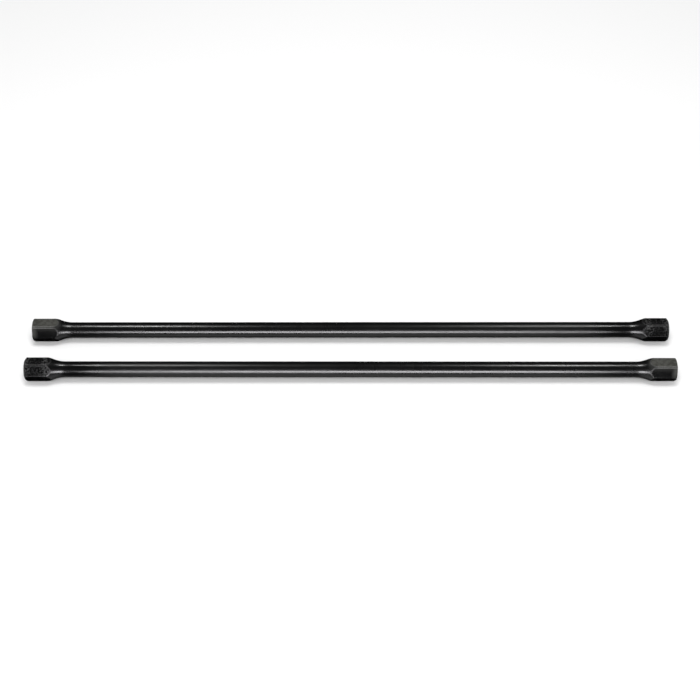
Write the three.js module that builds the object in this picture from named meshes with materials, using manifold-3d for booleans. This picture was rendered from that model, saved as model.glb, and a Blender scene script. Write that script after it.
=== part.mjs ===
// A pair of torsion bar springs for the front suspension of a light truck, laid side by side.
// Each bar is one solid forging: a long round shank with a hexagonal head upset on each end.
// The hexagon of the chamfered head is turned a little against the hexagon of the sawn head,
// one way on the left-hand bar and the other way on the right-hand bar. So the front bar is
// the mirror image of the back one. It lies with its sawn head at the other end.
//
// Millimetres, +Z up. X runs along the bars. The origin is on the surface that the bars lie
// on, under the middle of the pair.

import * as THREE from "three";
import { mergeVertices } from "three/addons/utils/BufferGeometryUtils.js";
import Module from "manifold-3d";

const wasm = await Module();
wasm.setup();

// ---- Driving dimensions ----

const BAR_LENGTH = 1143; // from end face to end face
const BAR_SPACING = 95; // between the axes of the two bars
const SHANK_DIAMETER = 28;
const ACROSS_FLATS = 38; // hexagon of every head

const CORNER_DIAMETER = 42.4; // the hexagon's corners are rounded to this diameter
const HEX_LENGTH = 40.5; // from the end face to where the corners start to taper
const CLOCKING = THREE.MathUtils.degToRad(7.5); // chamfered head's hexagon against the sawn one's
const NECK_ANGLE = THREE.MathUtils.degToRad(20); // slope of the cone behind the hexagon
const FILLET_RADIUS = 58.5; // hollow curve from the cone into the shank

const CENTRE_HOLE_DIAMETER = 6; // lathe centre in each end face
const CENTRE_HOLE_HALF_ANGLE = THREE.MathUtils.degToRad(30);

// The rim of an end face: how far it is cut back across the face and along the bar.
const SAWN_RIM = { across: 2.5, along: 2.5 }; // plain cut end with its edge ground off
const CHAMFERED_RIM = { across: 3.4, along: 2.8 };

const TURNED_SIDES = 48; // facets round the bar, with one line of vertices on each corner
const FILLET_STEPS = 6;

const BLACK_PAINT = { color: 0x18181a, roughness: 0.35, metalness: 0.2 };

// ---- Solids ----

// A closed three.js geometry as a solid that can be cut.
function solidFrom(geometry) {
  geometry.deleteAttribute("normal");
  geometry.deleteAttribute("uv");
  const merged = mergeVertices(geometry);
  const corners = merged.index.array;
  const triangles = [];
  for (let i = 0; i < corners.length; i += 3) {
    const [a, b, c] = corners.slice(i, i + 3);
    if (a !== b && b !== c && c !== a) {
      triangles.push(a, b, c);
    }
  }
  const mesh = new wasm.Mesh({
    numProp: 3,
    vertProperties: new Float32Array(merged.attributes.position.array),
    triVerts: new Uint32Array(triangles),
  });
  return new wasm.Manifold(mesh);
}

// A solid back as a three.js geometry.
function geometryFrom(solid) {
  const mesh = solid.getMesh();
  const geometry = new THREE.BufferGeometry();
  geometry.setAttribute("position", new THREE.BufferAttribute(mesh.vertProperties, 3));
  geometry.setIndex(new THREE.BufferAttribute(mesh.triVerts, 1));
  geometry.computeVertexNormals();
  return geometry;
}

// ---- One bar ----

// Half the outline of one turned head: from the bottom of its centre hole, out over the end
// face, along the hexagon's corners, down the cone and round the fillet to the shank.
// x is the radius and y is the distance from the end face.
function headOutline(rim) {
  const holeRadius = CENTRE_HOLE_DIAMETER / 2;
  const cornerRadius = CORNER_DIAMETER / 2;
  const shankRadius = SHANK_DIAMETER / 2;
  const filletRise = FILLET_RADIUS * (1 - Math.cos(NECK_ANGLE));
  const coneFall = cornerRadius - shankRadius - filletRise;
  const coneEnd = HEX_LENGTH + coneFall / Math.tan(NECK_ANGLE);
  const filletEnd = coneEnd + FILLET_RADIUS * Math.sin(NECK_ANGLE);

  const outline = [
    new THREE.Vector2(0, holeRadius / Math.tan(CENTRE_HOLE_HALF_ANGLE)),
    new THREE.Vector2(holeRadius, 0),
    new THREE.Vector2(cornerRadius - rim.across, 0),
    new THREE.Vector2(cornerRadius, rim.along),
    new THREE.Vector2(cornerRadius, HEX_LENGTH),
  ];
  for (let step = 0; step <= FILLET_STEPS; step++) {
    const slope = NECK_ANGLE * (1 - step / FILLET_STEPS);
    const radius = shankRadius + FILLET_RADIUS * (1 - Math.cos(slope));
    outline.push(new THREE.Vector2(radius, filletEnd - FILLET_RADIUS * Math.sin(slope)));
  }
  return outline;
}

// The whole bar as if its heads were round, along X and centred on the origin. Its sawn end
// is at -X and its chamfered end is at +X.
function turnedBlank() {
  const halfLength = BAR_LENGTH / 2;
  const sawnHead = headOutline(SAWN_RIM).map((p) => new THREE.Vector2(p.x, p.y - halfLength));
  const chamferedHead = headOutline(CHAMFERED_RIM).map((p) => new THREE.Vector2(p.x, halfLength - p.y));
  const outline = [...sawnHead, ...chamferedHead.reverse()];
  const geometry = new THREE.LatheGeometry(outline, TURNED_SIDES);
  geometry.rotateZ(-Math.PI / 2);
  return solidFrom(geometry);
}

// A hexagonal prism along X, from one place to another, turned about X by an angle. With no
// turn it has flats at top and bottom.
function hexagonPrism(start, end, turn) {
  const circumradius = ACROSS_FLATS / Math.sqrt(3);
  const hexagon = new THREE.Shape();
  for (let corner = 0; corner < 6; corner++) {
    const angle = Math.PI / 2 + (corner * Math.PI) / 3;
    const x = circumradius * Math.cos(angle);
    const y = circumradius * Math.sin(angle);
    if (corner === 0) {
      hexagon.moveTo(x, y);
    } else {
      hexagon.lineTo(x, y);
    }
  }
  hexagon.closePath();
  const geometry = new THREE.ExtrudeGeometry(hexagon, { depth: end - start, bevelEnabled: false });
  geometry.rotateY(Math.PI / 2);
  geometry.translate(start, 0, 0);
  geometry.rotateX(turn);
  return solidFrom(geometry);
}

// The turned blank cut to one hexagon over its sawn end and to the other over its chamfered
// end. The two prisms overlap round the shank, which is slimmer than both.
function torsionBar(clocking) {
  const past = BAR_LENGTH / 2 + ACROSS_FLATS;
  const sawnPrism = hexagonPrism(-past, ACROSS_FLATS, 0);
  const chamferedPrism = hexagonPrism(-ACROSS_FLATS, past, clocking);
  const prisms = sawnPrism.add(chamferedPrism);
  return geometryFrom(turnedBlank().intersect(prisms));
}

// ---- The pair ----

// The vertex that touches the floor on one side of a bar's middle, -1 for its sawn head and 1
// for its chamfered one. The chamfered head lies on a corner, so it is the higher of the two,
// and the slope picks the right vertex out of those at one depth.
function restingPoint(geometry, side) {
  const slope = 0.0005;
  const position = geometry.getAttribute("position");
  const vertex = new THREE.Vector3();
  const lowest = new THREE.Vector3(0, 0, Infinity);
  for (let i = 0; i < position.count; i++) {
    vertex.fromBufferAttribute(position, i);
    if (vertex.x * side > 0 && vertex.z + slope * vertex.x < lowest.z + slope * lowest.x) {
      lowest.copy(vertex);
    }
  }
  return lowest;
}

// A bar lying on the floor at the given Y: on the end of its sawn head's bottom flat and on
// the lowest corner of its chamfered head. It tilts by the little that the corner is deeper,
// and turn then swings it about the vertical.
function layBar(name, y, turn, clocking) {
  const geometry = torsionBar(clocking);
  const sawn = restingPoint(geometry, -1);
  const chamfered = restingPoint(geometry, 1);
  const tilt = Math.atan2(sawn.z - chamfered.z, chamfered.x - sawn.x);
  const height = -sawn.z * Math.cos(tilt) - sawn.x * Math.sin(tilt);

  const bar = new THREE.Mesh(geometry, new THREE.MeshStandardMaterial(BLACK_PAINT));
  bar.name = name;
  bar.position.set(0, y, height);
  bar.rotation.set(0, -tilt, turn, "ZYX");
  return bar;
}

const torsionBarPair = new THREE.Group();
torsionBarPair.add(layBar("back_torsion_bar", BAR_SPACING / 2, 0, -CLOCKING));
torsionBarPair.add(layBar("front_torsion_bar", -BAR_SPACING / 2, Math.PI, CLOCKING));

export default torsionBarPair;
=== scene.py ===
"""Blender scene for a pair of torsion bar springs lying side by side.

Each packed bar is replaced by a finer mesh of the same forging: a hexagonal head on each end
of a round shank, under satin black paint. Metres, +Z up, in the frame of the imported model.

Each bar's mesh is made about its own middle, along X, with its sawn end at -X and its
chamfered end at +X, and is then laid on the floor. The chamfered head's hexagon is turned a
little against the sawn head's, in opposite directions on the two bars.
"""

import math
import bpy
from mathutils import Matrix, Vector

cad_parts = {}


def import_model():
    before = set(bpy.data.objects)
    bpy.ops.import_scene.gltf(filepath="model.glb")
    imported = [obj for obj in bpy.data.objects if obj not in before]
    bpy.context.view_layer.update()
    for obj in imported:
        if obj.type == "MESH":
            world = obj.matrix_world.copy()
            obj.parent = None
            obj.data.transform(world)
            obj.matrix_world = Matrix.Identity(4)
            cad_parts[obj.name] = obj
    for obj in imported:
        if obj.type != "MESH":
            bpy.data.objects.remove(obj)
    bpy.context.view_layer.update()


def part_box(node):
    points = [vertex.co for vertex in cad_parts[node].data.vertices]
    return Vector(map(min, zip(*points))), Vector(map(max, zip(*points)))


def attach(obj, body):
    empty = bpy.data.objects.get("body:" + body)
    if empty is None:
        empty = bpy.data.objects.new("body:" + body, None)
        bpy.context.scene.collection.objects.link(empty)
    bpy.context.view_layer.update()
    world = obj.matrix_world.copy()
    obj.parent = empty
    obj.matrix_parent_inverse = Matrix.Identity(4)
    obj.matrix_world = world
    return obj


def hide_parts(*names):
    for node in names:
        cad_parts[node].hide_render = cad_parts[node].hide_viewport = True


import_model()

from types import SimpleNamespace

import bpy
import numpy as np
from mathutils import Matrix, Vector, noise

MM = 0.001

# ---- Sizes of one bar ----

BAR_LENGTH = 1143 * MM
SHANK_RADIUS = 14 * MM
APOTHEM = 19 * MM  # half the heads' size across flats
NECK_SLOPE = math.radians(20)
FILLET_RADIUS = 58.5 * MM

CORNER_RADIUS = 21.2 * MM  # the hexagon's corners are rounded to this
HEX_LENGTH = 40.5 * MM  # from the end face to where the corners start to taper
CLOCKING = math.radians(7.5)  # chamfered head's hexagon against the sawn one's

# The rim of the end face is cut back by rim_across over the face and by rim_along down the
# bar, in a round with rim_power 2 or a straight chamfer with 1. soft is how gently a flat
# meets the turned surface, and rough is how uneven the forged flats are.
SAWN_HEAD = {
    "rim_across": 2.5 * MM,
    "rim_along": 2.5 * MM,
    "rim_power": 1.6,
    "soft": 0.22 * MM,
    "rough": 0.10 * MM,
}
CHAMFERED_HEAD = {
    "rim_across": 3.4 * MM,
    "rim_along": 2.8 * MM,
    "rim_power": 1.08,
    "soft": 0.45 * MM,
    "rough": 0.22 * MM,
}
HOLE_RADIUS = 3 * MM  # lathe centre in each end face
HOLE_EDGE = 0.15 * MM  # how much its edge is broken
PILOT_RADIUS = 1.25 * MM  # the drilled hole at the bottom of the lathe centre
PILOT_TIP_RADIUS = 0.02 * MM
PILOT_START = 3.1 * MM  # these three are depths from the end face
PILOT_END = 4.9 * MM
PILOT_TIP = 5.6 * MM
HEAD_END = 76 * MM  # a little past the fillet

SHANK_WAVE = 0.06 * MM  # how far the rolled shank wanders from a true cylinder
SHANK_WAVE_AROUND = 16 * MM
SHANK_WAVE_ALONG = 80 * MM
HEAD_WAVE_SIZE = 9 * MM  # hollows in the forged heads
OFF_FLAT_SHARE = 0.4  # how much of a head's unevenness its corners and neck have
CORNER_BLEND = 0.8 * MM  # how deep the change from a flat to a corner goes
RIM_KEPT = 0.3 * MM  # the end face and its edge stay true

SIDES = 192  # vertices in a ring round the bar
CORNER_CROWDING = 0.6  # how much closer the vertices stand at the hexagon's corners
HEAD_STEP = 0.8 * MM
SHANK_STEP = 6 * MM
RIM_RINGS = 8
FACE_RINGS = 12
SHARP_EDGE = math.radians(38)  # edges that turn more than this aren't shaded smooth
RESTING_SLOPE = 0.0005  # picks the point that a head rests on out of those at one depth


def ring_angles():
    """The angles of one ring's vertices, crowded towards the six corners."""
    face = np.arange(SIDES) * 6 / SIDES
    whole = np.floor(face)
    across = 2 * (face - whole) - 1
    crowd = CORNER_CROWDING * np.sin(math.pi * across) / math.pi
    return math.radians(60) * (whole + (1 + across + crowd) / 2)


ANGLES = ring_angles()
ROUND = np.ones(SIDES)


def soft_least(a, b, blend):
    """The lesser of a and b, rounded over where they are within blend of each other."""
    near = np.maximum(blend - np.abs(a - b), 0) / blend
    return np.minimum(a, b) - near * near * blend / 4


def hexagon():
    """Radius of a head's hexagon at each of the ring's angles, with a corner at angle 0."""
    off_flat = (ANGLES % math.radians(60)) - math.radians(30)
    return APOTHEM / np.cos(off_flat)


def turned_radius(head, depth):
    """Radius of a head's turned surface at a depth from its end face."""
    rise = FILLET_RADIUS * (1 - math.cos(NECK_SLOPE))
    cone_end = HEX_LENGTH + (CORNER_RADIUS - SHANK_RADIUS - rise) / math.tan(NECK_SLOPE)
    fillet_end = cone_end + FILLET_RADIUS * math.sin(NECK_SLOPE)
    if depth < head["rim_along"]:
        left = 1 - depth / head["rim_along"]
        power = head["rim_power"]
        return CORNER_RADIUS - head["rim_across"] * (1 - (1 - left**power) ** (1 / power))
    if depth <= HEX_LENGTH:
        return CORNER_RADIUS
    if depth <= cone_end:
        return CORNER_RADIUS - (depth - HEX_LENGTH) * math.tan(NECK_SLOPE)
    if depth <= fillet_end:
        across = fillet_end - depth
        return SHANK_RADIUS + FILLET_RADIUS - math.sqrt(FILLET_RADIUS**2 - across**2)
    return SHANK_RADIUS


def head_rings(head):
    """Rings of one head, from the bottom of its centre hole to the shank. Each is its depth
    from the end face, its radii, and how far each vertex is on a flat, from 0 to 1."""
    flats = hexagon()
    plain = 0 * ROUND
    rings = [
        (PILOT_TIP, PILOT_TIP_RADIUS * ROUND, plain),
        (PILOT_END, PILOT_RADIUS * ROUND, plain),
        (PILOT_START, PILOT_RADIUS * ROUND, plain),
        (HOLE_EDGE, (HOLE_RADIUS - HOLE_EDGE / 2) * ROUND, plain),
        (HOLE_EDGE / 4, HOLE_RADIUS * ROUND, plain),
    ]
    hole = (HOLE_RADIUS + HOLE_EDGE) * ROUND
    rim = soft_least(turned_radius(head, 0), flats, head["soft"])
    for share in np.linspace(0, 1, FACE_RINGS):
        rings.append((0.0, hole + (rim - hole) * share, plain))
    rim_depths = head["rim_along"] * (1 - np.cos(np.linspace(0, math.pi / 2, RIM_RINGS)))
    hex_depths = np.arange(head["rim_along"] + HEAD_STEP, HEAD_END, HEAD_STEP)
    for depth in [*rim_depths[1:], *hex_depths]:
        turned = turned_radius(head, depth)
        radii = soft_least(turned, flats, head["soft"])
        on_flat = np.clip((turned - flats) / (2 * CORNER_BLEND) + 0.5, 0, 1)
        rings.append((depth, radii, on_flat))
    return rings


def uneven(ring, on_flat, head):
    """How far the forged or rolled surface lies inside its true shape, at a ring's vertices."""
    depths = []
    for (x, y, z), flat in zip(ring, on_flat):
        wide = Vector((x / SHANK_WAVE_ALONG, y / SHANK_WAVE_AROUND, z / SHANK_WAVE_AROUND))
        depth = SHANK_WAVE * (0.5 + 0.5 * noise.noise(wide))
        if head:
            close = Vector((x, y, z)) / HEAD_WAVE_SIZE
            share = OFF_FLAT_SHARE + (1 - OFF_FLAT_SHARE) * flat
            depth += head["rough"] * (0.5 + 0.5 * noise.noise(close)) * share
        depths.append(depth)
    return np.array(depths)


def bar_rings(length, clocking):
    """Every ring of a bar, from its sawn end at -X to its chamfered end: its points, and how
    far each is on a flat. The rings turn along the shank, so that the same vertices stand on
    the corners of both hexagons."""
    half = length / 2
    sawn = [(d - half, r, f, SAWN_HEAD) for d, r, f in head_rings(SAWN_HEAD)]
    far = [(half - d, r, f, CHAMFERED_HEAD) for d, r, f in head_rings(CHAMFERED_HEAD)]
    start, stop = sawn[-1][0], far[-1][0]
    places = np.linspace(start, stop, round((stop - start) / SHANK_STEP) + 1)[1:-1]
    shank = [(x, SHANK_RADIUS * ROUND, 0 * ROUND, None) for x in places]
    for x, radii, on_flat, head in sawn + shank + far[::-1]:
        angles = ANGLES + clocking * np.clip((x - start) / (stop - start), 0, 1)
        direction = np.stack([np.cos(angles), np.sin(angles)], axis=1)
        ring = np.column_stack([x * ROUND, direction * radii[:, None]])
        if abs(x) < half - RIM_KEPT and radii.min() > HOLE_RADIUS + HOLE_EDGE:
            ring[:, 1:] -= direction * uneven(ring, on_flat, head)[:, None]
        yield ring, on_flat


def laid(points):
    """A bar's points once it lies on the end of its sawn head's bottom flat and on its
    chamfered head's lowest corner, which is a little deeper and so tilts the bar."""
    lean = points[:, 2] + RESTING_SLOPE * points[:, 0]
    sawn = points[np.argmin(np.where(points[:, 0] < 0, lean, np.inf))]
    chamfered = points[np.argmin(np.where(points[:, 0] > 0, lean, np.inf))]
    tilt = math.atan2(sawn[2] - chamfered[2], chamfered[0] - sawn[0])
    height = -sawn[2] * math.cos(tilt) - sawn[0] * math.sin(tilt)
    turn = np.array(Matrix.Rotation(-tilt, 3, "Y"))
    return points @ turn.T + np.array([0, 0, height])


def bar_mesh(name, length, clocking):
    """One bar lying on the floor along X, with its middle over the origin."""
    rings = list(bar_rings(length, clocking))
    points = laid(np.concatenate([ring for ring, on_flat in rings]))
    flat_shares = np.concatenate([on_flat for ring, on_flat in rings])
    faces = []
    for ring in range(len(rings) - 1):
        for side in range(SIDES):
            a = ring * SIDES + side
            b = ring * SIDES + (side + 1) % SIDES
            faces.append((a, b, b + SIDES, a + SIDES))
    last = len(points) - SIDES
    faces.append(tuple(range(SIDES)))
    faces.append(tuple(reversed(range(last, last + SIDES))))

    mesh = bpy.data.meshes.new(name)
    mesh.from_pydata(points.tolist(), [], faces)
    attribute = mesh.attributes.new("flat_share", "FLOAT", "POINT")
    attribute.data.foreach_set("value", flat_shares.astype(np.float32))
    mesh.validate()
    mesh.shade_smooth()
    mesh.set_sharp_from_angle(angle=SHARP_EDGE)
    return mesh


# ---- Paint ----

class Nodes:
    """Adds nodes to one material and joins them up. Sizes are in metres."""

    def __init__(self, name):
        self.material = bpy.data.materials.new(name)
        self.material.use_nodes = True
        self.tree = self.material.node_tree
        self.shader = self.tree.nodes["Principled BSDF"]

    def put(self, socket, value):
        if isinstance(value, bpy.types.NodeSocket):
            self.tree.links.new(value, socket)
        else:
            socket.default_value = value

    def math(self, operation, a, b):
        node = self.tree.nodes.new("ShaderNodeMath")
        node.operation = operation
        self.put(node.inputs[0], a)
        self.put(node.inputs[1], b)
        return node.outputs[0]

    def times(self, *values):
        product = values[0]
        for value in values[1:]:
            product = self.math("MULTIPLY", product, value)
        return product

    def axis(self, vector, name):
        node = self.tree.nodes.new("ShaderNodeSeparateXYZ")
        self.put(node.inputs[0], vector)
        return node.outputs[name]

    def step(self, value, low, high, bottom=0.0, top=1.0):
        """A smooth step from bottom to top as value goes from low to high, which may be the
        lesser of the two."""
        node = self.tree.nodes.new("ShaderNodeMapRange")
        node.interpolation_type = "SMOOTHSTEP"
        self.put(node.inputs["Value"], value)
        if low > high:
            low, high, bottom, top = high, low, top, bottom
        node.inputs["From Min"].default_value = low
        node.inputs["From Max"].default_value = high
        node.inputs["To Min"].default_value = bottom
        node.inputs["To Max"].default_value = top
        return node.outputs["Result"]

    def scaled(self, vector, x, y, z):
        node = self.tree.nodes.new("ShaderNodeMapping")
        self.put(node.inputs["Vector"], vector)
        node.inputs["Scale"].default_value = (x, y, z)
        return node.outputs["Vector"]

    def noise(self, vector, size, detail):
        """Soft noise from about 0.25 to 0.75, with blotches of that size."""
        node = self.tree.nodes.new("ShaderNodeTexNoise")
        self.put(node.inputs["Vector"], vector)
        node.inputs["Scale"].default_value = 1 / size
        node.inputs["Detail"].default_value = detail
        return node.outputs["Fac"]

    def mix(self, share, a, b):
        node = self.tree.nodes.new("ShaderNodeMix")
        self.put(node.inputs["Factor"], share)
        self.put(node.inputs[2], a)
        self.put(node.inputs[3], b)
        return node.outputs[0]

    def mix_colour(self, share, a, b):
        node = self.tree.nodes.new("ShaderNodeMix")
        node.data_type = "RGBA"
        self.put(node.inputs["Factor"], share)
        self.put(node.inputs[6], a)
        self.put(node.inputs[7], b)
        return node.outputs[2]

    def bump(self, height, depth, normal=None):
        """A relief whose height is given in parts of that depth."""
        node = self.tree.nodes.new("ShaderNodeBump")
        node.inputs["Distance"].default_value = depth
        self.put(node.inputs["Height"], height)
        if normal is not None:
            self.put(node.inputs["Normal"], normal)
        return node.outputs["Normal"]


BLACK = (0.0035, 0.0035, 0.0037, 1)
HEAD_BLACK = (0.002, 0.002, 0.0021, 1)
# Grey specks on the chamfered head: partly forging scale, partly painted glints gathered on its
# upper side; the same grey is a painted light band over its chamfer.
SPECKLE = (0.060, 0.060, 0.060, 1)
# Painted light: the sawn head's top flat is a lighter mottled grey because it faces the light
# from above.
TOP_FLAT_PAINTED_LIGHT = (0.066, 0.066, 0.060, 1)
TOP_FLAT_PAINTED_LIGHT_DARK = (0.040, 0.040, 0.035, 1)
# The sawn head's upper edges: partly edge wear, partly a painted highlight line along the
# corners.
WORN_EDGE_AND_HIGHLIGHT = (0.15, 0.15, 0.14, 1)
# Painted sheen: grey round the sawn head's end, on its upper side, and over the head's upper
# part.
END_SHEEN = (0.060, 0.060, 0.057, 1)

# How strongly the greys show, from 0 to 1; each is painted light in whole or in part.
SPECKLE_AT_LEAST = 0.3  # in the middle of the chamfered head, next to 1 near its ends
# painted light band over the chamfer
CHAMFER_PAINTED_LIGHT = 0.6
# painted sheen on the sawn head's upper part
TOP_SHEEN = 0.38
# edge wear and painted highlight line on the sawn head
EDGE_WEAR_AND_HIGHLIGHT = 0.8

SPECKLE_SIZE = 2.6 * MM
# specks of the worn edges with their painted highlight line
EDGE_SPECK_SIZE = 1.1 * MM
# blotches in the painted light on the sawn head's top flat
MOTTLE_SIZE = 5 * MM

PAINT_IOR = 1.42

# Roughness of the paint, place by place.
SATIN = (0.24, 0.28)  # the shank, from one soft band to the next
SATIN_RISE = 0.10  # what is added to it towards the chamfered end
LAST_STRETCH = 0.17  # the shank just before the chamfered head
SAWN_NECK = 0.27
CHAMFERED_NECK = 0.25
RIDGE = 0.55  # the heads' upper edges
SAWN_FLAT = 0.14
CHAMFERED_FLAT = 0.13
UNDERSIDE = 0.85

BAND_WIDTH = 28 * MM  # soft bands round the shank
BAND_SQUEEZE = 0.25  # of the places across the bar, which draws the bands out round it

PEEL_SIZE = 1.6 * MM  # orange peel in the paint
PEEL_DEPTH = 0.0025 * MM
SCALE_SIZE = 2.2 * MM  # forging scale on the heads
SCALE_DEPTH = 0.12 * MM
SAWN_SCALE = 0.6  # in parts of that depth
CHAMFERED_SCALE = 2.2


def bar_places(n, half_length):
    """What the paint goes by at a point of a bar: where it is, how far from either end face,
    how far its surface faces up, how far it is on a flat, and how far on either head."""
    coordinates = n.tree.nodes.new("ShaderNodeTexCoord")
    where = coordinates.outputs["Object"]
    attribute = n.tree.nodes.new("ShaderNodeAttribute")
    attribute.attribute_name = "flat_share"
    x = n.axis(where, "X")
    from_sawn = n.math("ADD", x, half_length)
    from_chamfered = n.math("SUBTRACT", half_length, x)
    return SimpleNamespace(
        where=where,
        x=x,
        z=n.axis(where, "Z"),
        up=n.axis(coordinates.outputs["Normal"], "Z"),
        flat=attribute.outputs["Fac"],
        from_sawn=from_sawn,
        from_chamfered=from_chamfered,
        from_end=n.math("MINIMUM", from_sawn, from_chamfered),
        sawn_head=n.step(from_sawn, 54 * MM, 44 * MM),
        chamfered_head=n.step(from_chamfered, 46 * MM, 38 * MM),
    )


def speckle_and_glint_share(n, at):
    """Where the chamfered head is grey: in specks, forging scale in part and painted glints in
    part, most on its upper side near both its ends, and all over its chamfer as a painted light
    band."""
    grain = n.step(n.noise(at.where, SPECKLE_SIZE, detail=3), 0.45, 0.60)
    high_up = n.step(at.z, 19 * MM, 34 * MM, 0.05, 1.0)
    by_face = n.step(at.from_chamfered, 14 * MM, 3 * MM)
    by_neck = n.step(at.from_chamfered, 26 * MM, 38 * MM)
    along = n.mix(n.math("MAXIMUM", by_face, by_neck), SPECKLE_AT_LEAST, 1.0)
    specks = n.times(grain, high_up, at.chamfered_head, along)
    chamfer = n.step(at.from_chamfered, 3.4 * MM, 2.6 * MM)
    return n.math("MAXIMUM", specks, n.times(chamfer, CHAMFER_PAINTED_LIGHT))


def sheen_share(n, at):
    """Painted sheen on the sawn head: grey round its end and, less, near its top, where light
    falls on it.
    """
    near_end = n.times(n.step(at.from_sawn, 13 * MM, 2 * MM), n.step(at.z, 14 * MM, 28 * MM))
    near_top = n.times(at.sawn_head, n.step(at.z, 27 * MM, 38 * MM), TOP_SHEEN)
    return n.math("MAXIMUM", near_end, near_top)


def wear_and_highlight_share(n, at):
    """Where the sawn head's upper edges are lighter, in specks: partly edge wear, partly a
    painted highlight line along the corners.
    """
    edge = n.times(n.step(at.flat, 0.12, 0.4), n.step(at.flat, 0.88, 0.6))
    upper = n.times(n.step(at.from_sawn, 42 * MM, 34 * MM), n.step(at.z, 26 * MM, 33 * MM))
    specks = n.step(n.noise(at.where, EDGE_SPECK_SIZE, detail=3), 0.42, 0.58, 0.25, 1.0)
    return n.times(edge, upper, specks, EDGE_WEAR_AND_HIGHLIGHT)


def paint_colour(n, at):
    """A black coat with grey specks on the chamfered head, partly forging scale and partly
    painted glints, and a painted light band on its chamfer. On the sawn head a painted sheen
    greys it round the end and near the top, painted light makes the top flat a mottled grey,
    and the upper edges are lighter, partly from wear and partly as a painted highlight line."""
    mottle = n.step(n.noise(at.where, MOTTLE_SIZE, detail=4), 0.38, 0.60)
    painted_top_light = n.mix_colour(mottle, TOP_FLAT_PAINTED_LIGHT_DARK, TOP_FLAT_PAINTED_LIGHT)
    # Painted light on the sawn head's top flat, which faces the light from above.
    top_flat = n.times(n.step(at.up, 0.90, 0.97), at.flat, at.sawn_head)
    colour = n.mix_colour(at.chamfered_head, BLACK, HEAD_BLACK)
    colour = n.mix_colour(speckle_and_glint_share(n, at), colour, SPECKLE)
    colour = n.mix_colour(sheen_share(n, at), colour, END_SHEEN)
    colour = n.mix_colour(top_flat, colour, painted_top_light)
    return n.mix_colour(wear_and_highlight_share(n, at), colour, WORN_EDGE_AND_HIGHLIGHT)


def paint_roughness(n, at):
    """Satin on the shank and necks, smoother just before the chamfered head and on the flats,
    and dull on the heads' upper edges and underneath the shank and necks."""
    squeezed = n.scaled(at.where, 1, BAND_SQUEEZE, BAND_SQUEEZE)
    rough = n.step(n.noise(squeezed, BAND_WIDTH, detail=3), 0.3, 0.7, *SATIN)
    rough = n.mix(n.step(at.x, -250 * MM, 450 * MM), rough, n.math("ADD", rough, SATIN_RISE))
    rough = n.mix(n.step(at.from_chamfered, 160 * MM, 90 * MM), rough, LAST_STRETCH)
    either_neck = n.mix(n.step(at.x, -100 * MM, 100 * MM), SAWN_NECK, CHAMFERED_NECK)
    rough = n.mix(n.step(at.from_end, 82 * MM, 64 * MM), rough, either_neck)

    ridge = n.times(n.step(at.flat, 0.05, 0.3), n.step(at.flat, 0.95, 0.7))
    upper = n.times(n.step(at.z, 22 * MM, 30 * MM), n.step(at.from_end, 60 * MM, 54 * MM))
    rough = n.mix(n.times(ridge, upper), rough, RIDGE)
    on_flat = n.step(at.flat, 0.6, 1)
    rough = n.mix(n.times(at.sawn_head, on_flat), rough, SAWN_FLAT)
    rough = n.mix(n.times(at.chamfered_head, on_flat), rough, CHAMFERED_FLAT)

    below = n.times(n.step(at.up, 0.05, -0.35), n.step(at.from_end, 44 * MM, 54 * MM))
    return n.mix(below, rough, UNDERSIDE)


def paint_relief(n, at):
    """Orange peel in the paint, and forging scale on the heads."""
    peel = n.bump(n.noise(at.where, PEEL_SIZE, detail=2), PEEL_DEPTH)
    sawn = n.times(at.sawn_head, SAWN_SCALE)
    chamfered = n.times(at.chamfered_head, CHAMFERED_SCALE)
    scale = n.noise(at.where, SCALE_SIZE, detail=4)
    return n.bump(n.times(scale, n.math("ADD", sawn, chamfered)), SCALE_DEPTH, peel)


def paint(half_length):
    """Satin black paint over a forging, for bars of that half length."""
    n = Nodes("black_paint")
    at = bar_places(n, half_length)
    n.put(n.shader.inputs["Base Color"], paint_colour(n, at))
    n.put(n.shader.inputs["Roughness"], paint_roughness(n, at))
    n.put(n.shader.inputs["Normal"], paint_relief(n, at))
    n.shader.inputs["IOR"].default_value = PAINT_IOR
    return n.material


# ---- The two bars ----

def make_bar(node, body, turn, clocking, material):
    """One bar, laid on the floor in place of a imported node, its sawn end turned from -X."""
    low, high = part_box(node)
    name = node.replace("torsion_bar", "bar_forging")
    mesh = bar_mesh(name, BAR_LENGTH, clocking)
    mesh.materials.append(material)
    middle = Vector(((low.x + high.x) / 2, (low.y + high.y) / 2, low.z))
    piece = bpy.data.objects.new(name, mesh)
    bpy.context.scene.collection.objects.link(piece)
    piece.matrix_world = Matrix.Translation(middle) @ Matrix.Rotation(turn, 4, "Z")
    bpy.context.view_layer.update()
    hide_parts(node)
    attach(piece, body)


PAINT = paint(BAR_LENGTH / 2)
make_bar("back_torsion_bar", "back_bar", 0, -CLOCKING, PAINT)
make_bar("front_torsion_bar", "front_bar", math.pi, CLOCKING, PAINT)


# ---- Floor, lights and camera ----

FLOOR_SIZE = 24
FLOOR_WHITE = (0.9, 0.9, 0.9, 1)

# Brightness of the surround, for each kind of ray.
SURROUND_SEEN = 1.0
SURROUND_DIFFUSE = 0.58
SURROUND_GLOSS = 0.002

FRONT_SPREAD = math.radians(80)
FRONT_TINT = (0.985, 0.97, 1)

# Strip lights over both ends of the bars: name, from and to along X, radiance.
STRIPS = (("strip", 0.46, 0.655, 62), ("strip_fade", 0.285, 0.46, 8))
STRIP_WIDTH = 0.124

LENS = 70.35
SENSOR_WIDTH = 36
CAMERA_ELEVATION = math.radians(47.9)
CAMERA_DISTANCE = 2.44
CAMERA_TARGET = Vector((-1.0 * MM, 0, 17.8 * MM))


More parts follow.
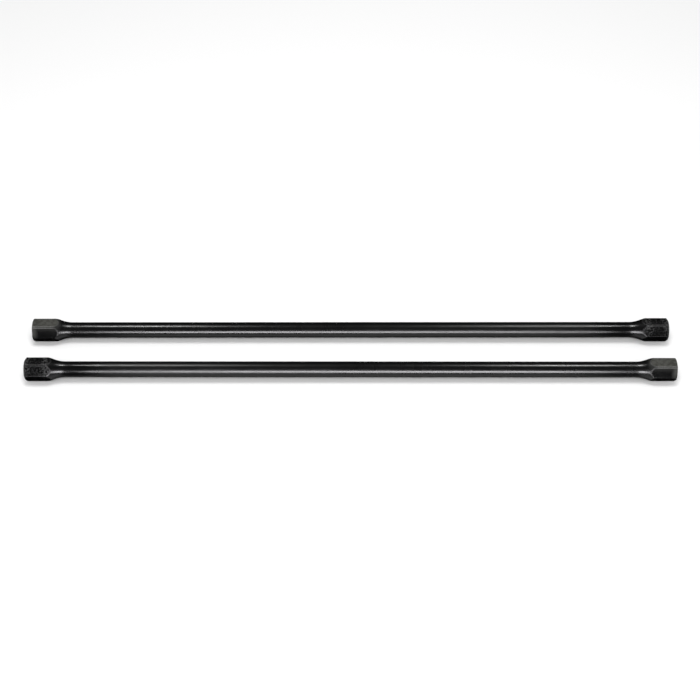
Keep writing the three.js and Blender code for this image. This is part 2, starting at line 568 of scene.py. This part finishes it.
def toward(elevation, distance, x=0.0):
    """A point at that many degrees above the -Y horizon, seen from between the bars."""
    angle = math.radians(elevation)
    return Vector((x, -math.cos(angle) * distance, APOTHEM + math.sin(angle) * distance))


def area_light(name, place, target, size, radiance, colour=(1, 1, 1)):
    """An area light of that radiance, which the camera doesn't see."""
    light = bpy.data.lights.new(name, "AREA")
    light.shape = "RECTANGLE"
    light.size, light.size_y = size
    light.energy = radiance * math.pi * size[0] * size[1]
    light.color = colour
    lamp = bpy.data.objects.new(name, light)
    lamp.location = place
    lamp.rotation_euler = (Vector(target) - place).to_track_quat("-Z", "Y").to_euler()
    lamp.visible_camera = False
    bpy.context.scene.collection.objects.link(lamp)
    return lamp


def narrow(light, spread):
    """Keep a light within that angle, as a grid does, at the same radiance straight ahead."""
    light.spread = spread
    light.energy *= 1 - (spread / 2) / math.tan(spread / 2)


def floor():
    """A pale floor, which the paint doesn't mirror."""
    half = FLOOR_SIZE / 2
    mesh = bpy.data.meshes.new("floor")
    corners = [(-half, -half, 0), (half, -half, 0), (half, half, 0), (-half, half, 0)]
    mesh.from_pydata(corners, [], [(0, 1, 2, 3)])
    n = Nodes("floor")
    n.shader.inputs["Base Color"].default_value = FLOOR_WHITE
    n.shader.inputs["Roughness"].default_value = 0.9
    n.shader.inputs["Specular IOR Level"].default_value = 0
    mesh.materials.append(n.material)
    plane = bpy.data.objects.new("floor", mesh)
    bpy.context.scene.collection.objects.link(plane)
    plane.visible_glossy = False


def world():
    """An even surround with its own brightness for what the camera sees, for diffuse light
    and for reflections."""
    surround = bpy.data.worlds.new("world")
    bpy.context.scene.world = surround
    surround.use_nodes = True
    tree = surround.node_tree
    path = tree.nodes.new("ShaderNodeLightPath")
    gloss = tree.nodes.new("ShaderNodeMix")
    tree.links.new(path.outputs["Is Glossy Ray"], gloss.inputs["Factor"])
    gloss.inputs[2].default_value = SURROUND_DIFFUSE
    gloss.inputs[3].default_value = SURROUND_GLOSS
    seen = tree.nodes.new("ShaderNodeMix")
    tree.links.new(path.outputs["Is Camera Ray"], seen.inputs["Factor"])
    tree.links.new(gloss.outputs[0], seen.inputs[2])
    seen.inputs[3].default_value = SURROUND_SEEN
    background = tree.nodes["Background"]
    background.inputs["Color"].default_value = (1, 1, 1, 1)
    tree.links.new(seen.outputs[0], background.inputs["Strength"])


def paint_lights():
    """Lights that only show in the paint: one low in front, a dim one under the floor, which
    reflections pass through, and strips above and a little behind the bars' ends."""
    bars = (0, 0, APOTHEM)
    front = area_light(
        "front",
        toward(elevation=13.5, distance=0.8),
        bars,
        size=(1.16, 0.28),
        radiance=28,
        colour=FRONT_TINT,
    )
    narrow(front.data, FRONT_SPREAD)
    below = area_light(
        "below",
        toward(elevation=-46, distance=0.6),
        bars,
        size=(1.05, 0.66),
        radiance=0.85,
    )
    lamps = [front, below]
    for side in (-1, 1):
        for name, inner, outer, radiance in STRIPS:
            x = side * (inner + outer) / 2
            strip = area_light(
                f"{name}_{side}",
                toward(elevation=106, distance=1.1, x=x),
                (x, 0, APOTHEM),
                size=(outer - inner, STRIP_WIDTH),
                radiance=radiance,
            )
            lamps.append(strip)
    for lamp in lamps:
        lamp.visible_diffuse = False


def floor_lights():
    """Lights above the bars that light the floor and cast the shadows, and don't show in the
    paint."""
    overhead = area_light(
        "overhead",
        toward(elevation=92, distance=3),
        (0, 0, 0),
        size=(1.1, 0.9),
        radiance=12.5,
    )
    fill = area_light(
        "fill",
        toward(elevation=52, distance=2.5),
        (0, 0, 0),
        size=(3.0, 0.8),
        radiance=4.2,
    )
    for lamp in (overhead, fill):
        lamp.visible_glossy = False


def camera():
    data = bpy.data.cameras.new("camera")
    data.lens = LENS
    data.sensor_width = SENSOR_WIDTH
    cam = bpy.data.objects.new("camera", data)
    back = Vector((0, -math.cos(CAMERA_ELEVATION), math.sin(CAMERA_ELEVATION)))
    cam.location = CAMERA_TARGET + back * CAMERA_DISTANCE
    cam.rotation_euler = (-back).to_track_quat("-Z", "Y").to_euler()
    bpy.context.scene.collection.objects.link(cam)
    bpy.context.scene.camera = cam


floor()
world()
paint_lights()
floor_lights()
camera()
bpy.context.scene.view_settings.view_transform = "Standard"
